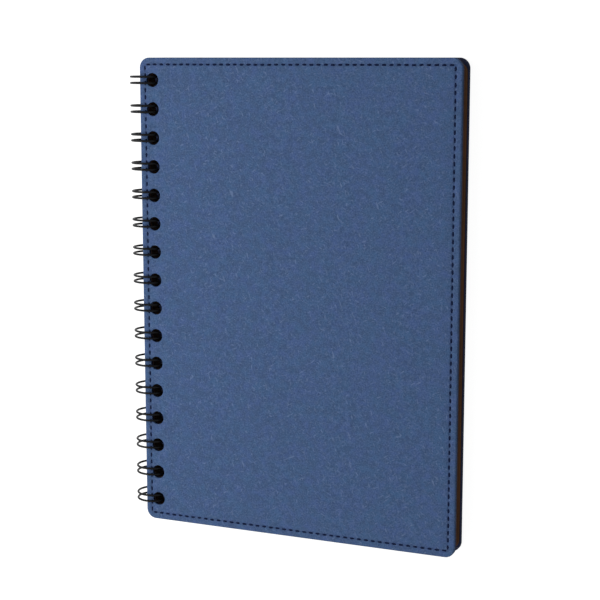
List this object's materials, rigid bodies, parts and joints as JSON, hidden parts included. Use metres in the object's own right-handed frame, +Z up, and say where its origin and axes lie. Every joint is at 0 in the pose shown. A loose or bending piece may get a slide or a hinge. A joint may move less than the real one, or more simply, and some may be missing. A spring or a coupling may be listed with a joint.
{
  "type": "wire-bound notebook",
  "caption": "Closed A5 notebook: sewn flecked blue covers with rounded corners, a brown page block and a black double-loop wire binding along the spine.",
  "frame": {"origin": "on the table, under the middle of the closed notebook's bounding box", "axes": "+Z up, out of the front cover; +Y along the spine to the head; +X from the spine to the fore-edge"},
  "size_m": [0.1552, 0.21, 0.016],
  "materials": {
    "cover_facing": "matt flecked blue bonded leather",
    "cover_board": "dark dyed board",
    "cover_lining": "dark blue lining",
    "sewing_thread": "dark blue thread",
    "page_paper": "uncoated brown paper",
    "wire_coating": "black coated steel, satin"
  },
  "bodies": {
    "block": {"page_block": "page_paper", "binding_wire": "wire_coating"},
    "front_cover": {"front_cover_facing": "cover_facing", "front_cover_board": "cover_board", "front_cover_lining": "cover_lining", "front_cover_outer_stitching": "sewing_thread", "front_cover_inner_stitching": "sewing_thread"},
    "back_cover": {"back_cover_facing": "cover_facing", "back_cover_board": "cover_board", "back_cover_lining": "cover_lining", "back_cover_outer_stitching": "sewing_thread", "back_cover_inner_stitching": "sewing_thread"}
  },
  "joints": [
    {"name": "front_cover_hinge", "type": "hinge", "parent": "block", "child": "front_cover", "pos_m": [-0.06962, 0, 0.00938], "axis": [0, -1, 0], "range_deg": [0, 180]},
    {"name": "back_cover_hinge", "type": "hinge", "parent": "block", "child": "back_cover", "pos_m": [-0.06967, 0, 0.00658], "axis": [0, 1, 0], "range_deg": [0, 180]}
  ]
}
